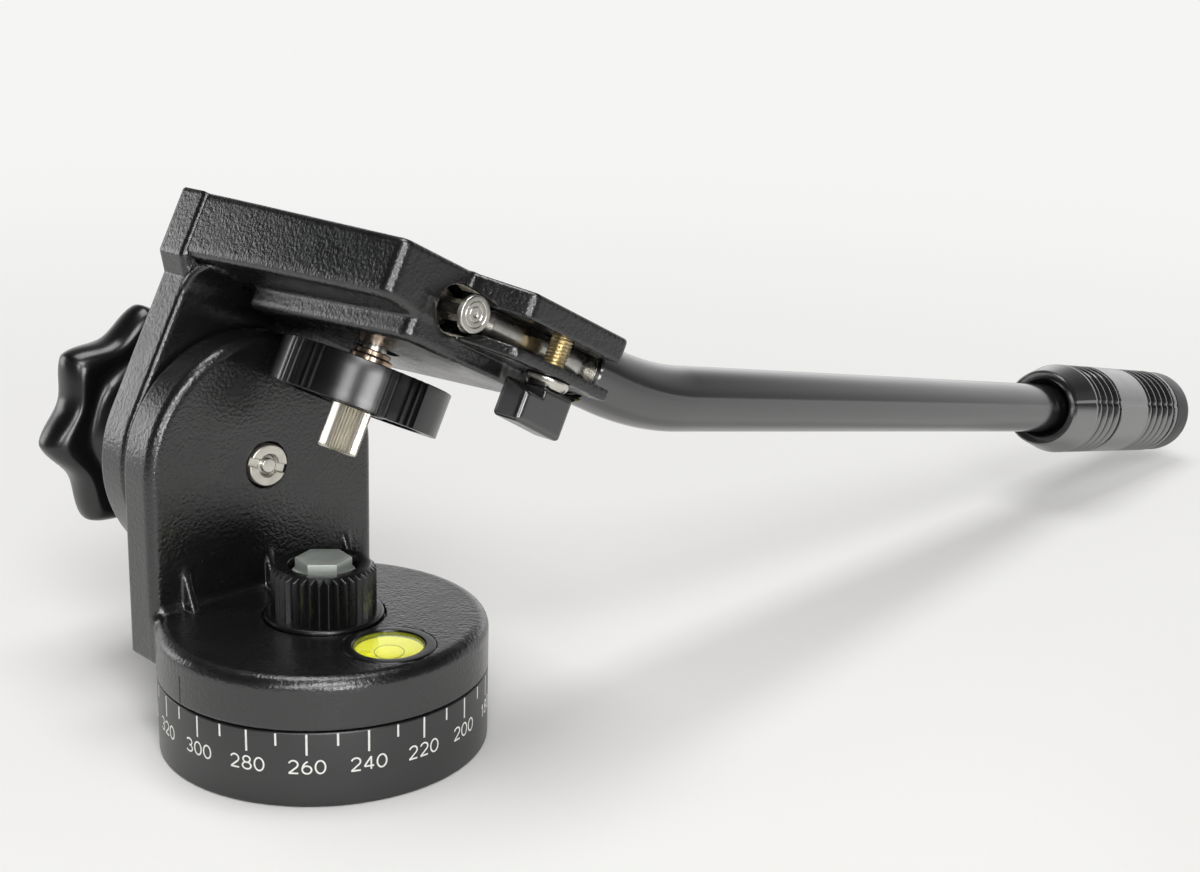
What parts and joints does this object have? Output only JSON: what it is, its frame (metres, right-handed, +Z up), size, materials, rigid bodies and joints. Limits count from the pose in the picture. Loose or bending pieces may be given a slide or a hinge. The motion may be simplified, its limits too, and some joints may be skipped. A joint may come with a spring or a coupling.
{
  "type": "fluid video head",
  "caption": "Pan and tilt head for a video tripod: dial base, turning disc with an upright plate, tilting camera platform on an outer arm, lobed tilt lock and bent pan handle",
  "frame": {"origin": "mouth of the tripod thread, at the centre of the dial base's underside", "axes": "+Z up the pan axis, +X towards the pan handle, +Y along the tilt axis towards the lobed lock knob"},
  "size_m": [0.4241, 0.127, 0.1218],
  "materials": {
    "cast_paint": "semi-gloss black paint with a fine orange-peel texture on an aluminium casting",
    "anodised_black": "satin black anodised, with a white degree scale",
    "tube_paint": "smooth semi-gloss black paint on aluminium tube",
    "gloss_black_plastic": "glossy moulded black plastic",
    "black_plastic": "satin moulded black plastic",
    "grip_rubber": "moulded black rubber with a satin sheen",
    "pad_rubber": "matt black rubber sheet",
    "steel": "turned and plated steel",
    "brass": "dull turned brass",
    "bronze": "sintered bronze",
    "bare_aluminium": "turned aluminium",
    "bearing_plastic": "ivory low-friction plastic",
    "dark_fibre": "dark friction sheet",
    "vial_green": "clear yellow-green liquid in a vial",
    "clear_cover": "clear cover with a dark circle"
  },
  "bodies": {
    "base": {"dial_base": "anodised_black", "tripod_bush": "steel", "pan_bolt": "steel", "pan_thrust_washer": "bearing_plastic", "pan_drag_disc": "bare_aluminium"},
    "pan": {"pan_body": "cast_paint", "pan_bush": "bronze", "bubble_bezel": "black_plastic", "bubble_vial": "vial_green", "bubble_lens": "clear_cover", "tilt_shaft": "steel", "tilt_ring_nut": "steel", "tilt_friction_washer": "dark_fibre", "tilt_drag_disc": "bare_aluminium", "tilt_spring_washer": "steel", "tilt_pressure_washer": "steel"},
    "pan_lock": {"pan_lock_knob": "black_plastic", "pan_lock_insert": "brass"},
    "tilt": {"tilt_bracket": "cast_paint", "tilt_bush": "bronze", "platform_pad": "pad_rubber"},
    "tilt_lock": {"star_knob": "gloss_black_plastic", "star_knob_insert": "brass"},
    "screw_carrier": {"screw_collar": "brass", "screw_clip": "steel"},
    "screw": {"camera_screw": "steel", "camera_knob": "gloss_black_plastic", "camera_post": "steel"},
    "clamp": {"pinch_screw": "brass", "pinch_washer": "steel", "clamp_wing": "gloss_black_plastic"},
    "handle": {"handle_spigot": "steel", "handle_cross_pin": "steel", "handle_tube": "tube_paint", "handle_grip": "grip_rubber", "grip_end_cap": "grip_rubber"}
  },
  "joints": [
    {"name": "pan_turn", "type": "hinge", "parent": "base", "child": "pan", "pos_m": [0, 0, 0.0174], "axis": [0, 0, 1], "continuous": true},
    {"name": "pan_lock_turn", "type": "hinge", "parent": "pan", "child": "pan_lock", "pos_m": [0, 0, 0.035], "axis": [0, 0, 1], "range_deg": [-180, 180]},
    {"name": "tilt_turn", "type": "hinge", "parent": "pan", "child": "tilt", "pos_m": [0, 0, 0.0593], "axis": [0, 1, 0], "range_deg": [-106, 33]},
    {"name": "tilt_lock_turn", "type": "hinge", "parent": "pan", "child": "tilt_lock", "pos_m": [0, 0.06, 0.0593], "axis": [0, 1, 0], "range_deg": [-180, 180]},
    {"name": "screw_lift", "type": "slide", "parent": "tilt", "child": "screw_carrier", "axis": [0.4415, 0, 0.8973], "range_m": [0, 0.0028]},
    {"name": "screw_spin", "type": "hinge", "parent": "screw_carrier", "child": "screw", "pos_m": [0, 0, 0.0593], "axis": [0.4415, 0, 0.8973], "continuous": true},
    {"name": "clamp_turn", "type": "hinge", "parent": "tilt", "child": "clamp", "pos_m": [0.0122, -0.0417, 0.0533], "axis": [0.4415, 0, 0.8973], "range_deg": [-120, 120]},
    {"name": "handle_turn", "type": "hinge", "parent": "tilt", "child": "handle", "pos_m": [0.01969, -0.033, 0.09932], "axis": [0.8973, 0, -0.4415], "range_deg": [-11, 11]}
  ]
}
